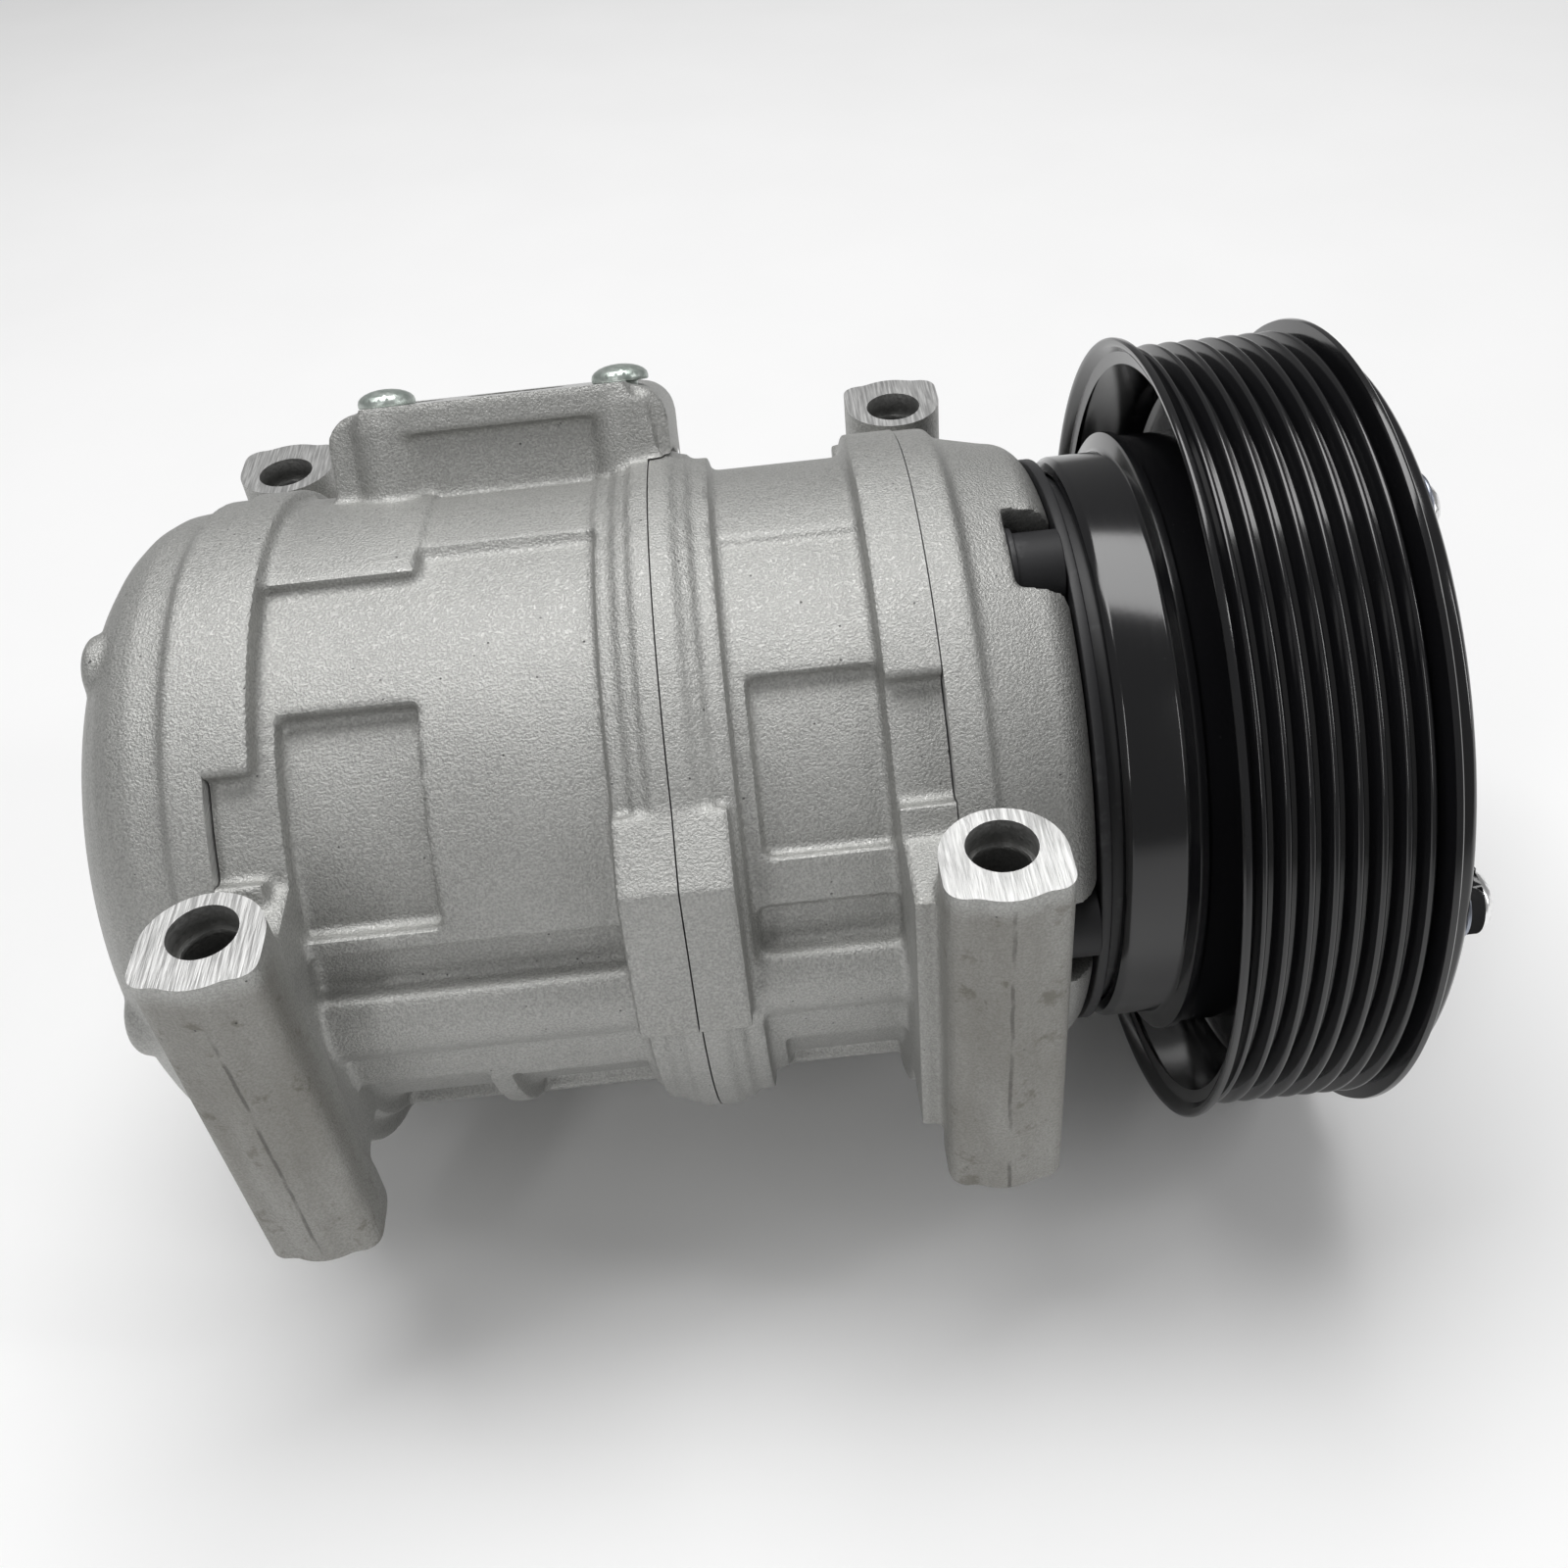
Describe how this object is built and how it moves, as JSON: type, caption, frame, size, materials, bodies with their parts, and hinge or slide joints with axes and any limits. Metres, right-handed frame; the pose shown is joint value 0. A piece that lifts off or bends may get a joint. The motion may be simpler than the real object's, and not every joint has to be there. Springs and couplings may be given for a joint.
{
  "type": "automotive ac compressor",
  "caption": "Belt-driven swash-plate refrigerant compressor with a grooved clutch pulley, four upright mounting ears and an angled port block.",
  "frame": {"origin": "midway between the two front ear holes, on the plane of the machined ear faces", "axes": "+X along the shaft towards the clutch and pulley, +Z along the mounting bolts, away from the ear columns"},
  "size_m": [0.2286, 0.1496, 0.1432],
  "materials": {
    "cast_aluminium": "bead-blasted casting",
    "piston_aluminium": "turned",
    "black_paint": "gloss",
    "black_bolt": "black oxide",
    "black_plastic": "matt",
    "zinc_plate": "zinc plated",
    "rivet_steel": "bright",
    "ground_steel": "ground",
    "bearing_steel": "polished",
    "spring_steel": "blued",
    "swash_iron": "coated, turned",
    "seal_rubber": "matt",
    "gasket_sheet": "coated metal sheet",
    "copper_wire": "enamelled winding"
  },
  "bodies": {
    "housing": {"rear_head": "cast_aluminium", "rear_cylinder": "cast_aluminium", "front_cylinder": "cast_aluminium", "front_head": "cast_aluminium", "rear_gasket": "gasket_sheet", "front_gasket": "gasket_sheet", "rear_valve_plate": "ground_steel", "front_valve_plate": "ground_steel", "rear_reeds": "spring_steel", "front_reeds": "spring_steel", "housing_o_rings": "seal_rubber", "through_bolts": "black_bolt", "port_bolts": "zinc_plate", "rear_bearing_cup": "bearing_steel", "front_bearing_cup": "bearing_steel", "rear_thrust_washers": "bearing_steel", "front_thrust_washers": "bearing_steel", "shaft_seal": "seal_rubber", "seal_snap_ring": "spring_steel", "coil_bracket": "black_paint", "coil_shell": "black_paint", "coil_winding": "copper_wire", "coil_snap_ring": "spring_steel", "coil_terminal": "black_plastic", "bearing_inner_race": "bearing_steel", "bearing_snap_ring": "spring_steel"},
    "shaft": {"shaft": "ground_steel", "swash_plate": "swash_iron", "clutch_hub": "black_paint", "hub_rivets": "rivet_steel", "hub_bolt": "zinc_plate", "hub_shims": "ground_steel"},
    "armature": {"armature": "black_paint", "armature_rivets": "rivet_steel", "leaf_springs": "spring_steel"},
    "pulley": {"pulley": "black_paint", "rotor": "black_paint", "bearing_outer_race": "bearing_steel", "bearing_seals": "seal_rubber", "rotor_snap_ring": "spring_steel"},
    "ball_set": {"bearing_balls": "bearing_steel", "ball_cage": "ground_steel"},
    "rear_needle_set": {"rear_needles": "bearing_steel"},
    "front_needle_set": {"front_needles": "bearing_steel"},
    "rear_thrust_set": {"rear_thrust_rollers": "bearing_steel"},
    "front_thrust_set": {"front_thrust_rollers": "bearing_steel"},
    "piston_1": {"piston_1": "piston_aluminium", "shoes_1": "bearing_steel"},
    "piston_2": {"piston_2": "piston_aluminium", "shoes_2": "bearing_steel"},
    "piston_3": {"piston_3": "piston_aluminium", "shoes_3": "bearing_steel"},
    "piston_4": {"piston_4": "piston_aluminium", "shoes_4": "bearing_steel"},
    "piston_5": {"piston_5": "piston_aluminium", "shoes_5": "bearing_steel"}
  },
  "joints": [
    {"name": "shaft_spin", "type": "hinge", "parent": "housing", "child": "shaft", "pos_m": [0, 0, -0.0374], "axis": [1, 0, 0], "continuous": true},
    {"name": "pulley_spin", "type": "hinge", "parent": "housing", "child": "pulley", "pos_m": [0, 0, -0.0374], "axis": [1, 0, 0], "continuous": true},
    {"name": "armature_slide", "type": "slide", "parent": "shaft", "child": "armature", "axis": [1, 0, 0], "range_m": [-0.0005, 0], "stiffness_N_per_m": 20000, "deforming": ["leaf_springs"]},
    {"name": "ball_set_orbit", "type": "hinge", "parent": "housing", "child": "ball_set", "pos_m": [0, 0, -0.0374], "axis": [1, 0, 0], "continuous": true},
    {"name": "rear_needle_orbit", "type": "hinge", "parent": "housing", "child": "rear_needle_set", "pos_m": [0, 0, -0.0374], "axis": [1, 0, 0], "continuous": true},
    {"name": "rear_thrust_orbit", "type": "hinge", "parent": "housing", "child": "rear_thrust_set", "pos_m": [0, 0, -0.0374], "axis": [1, 0, 0], "continuous": true},
    {"name": "front_needle_orbit", "type": "hinge", "parent": "housing", "child": "front_needle_set", "pos_m": [0, 0, -0.0374], "axis": [1, 0, 0], "continuous": true},
    {"name": "front_thrust_orbit", "type": "hinge", "parent": "housing", "child": "front_thrust_set", "pos_m": [0, 0, -0.0374], "axis": [1, 0, 0], "continuous": true},
    {"name": "piston_1_slide", "type": "slide", "parent": "housing", "child": "piston_1", "axis": [1, 0, 0], "range_m": [-0.02292, 0.00058]},
    {"name": "piston_2_slide", "type": "slide", "parent": "housing", "child": "piston_2", "axis": [1, 0, 0], "range_m": [-0.01175, 0.01175]},
    {"name": "piston_3_slide", "type": "slide", "parent": "housing", "child": "piston_3", "axis": [1, 0, 0], "range_m": [-0.00058, 0.02292]},
    {"name": "piston_4_slide", "type": "slide", "parent": "housing", "child": "piston_4", "axis": [1, 0, 0], "range_m": [-0.00484, 0.01866]},
    {"name": "piston_5_slide", "type": "slide", "parent": "housing", "child": "piston_5", "axis": [1, 0, 0], "range_m": [-0.01866, 0.00484]}
  ],
  "couplings": [
    {"joint": "ball_set_orbit", "follows": "pulley_spin", "ratio": 0.5824},
    {"joint": "rear_needle_orbit", "follows": "shaft_spin", "ratio": 0.434},
    {"joint": "rear_thrust_orbit", "follows": "shaft_spin", "ratio": 0.5},
    {"joint": "front_needle_orbit", "follows": "shaft_spin", "ratio": 0.434},
    {"joint": "front_thrust_orbit", "follows": "shaft_spin", "ratio": 0.5}
  ]
}
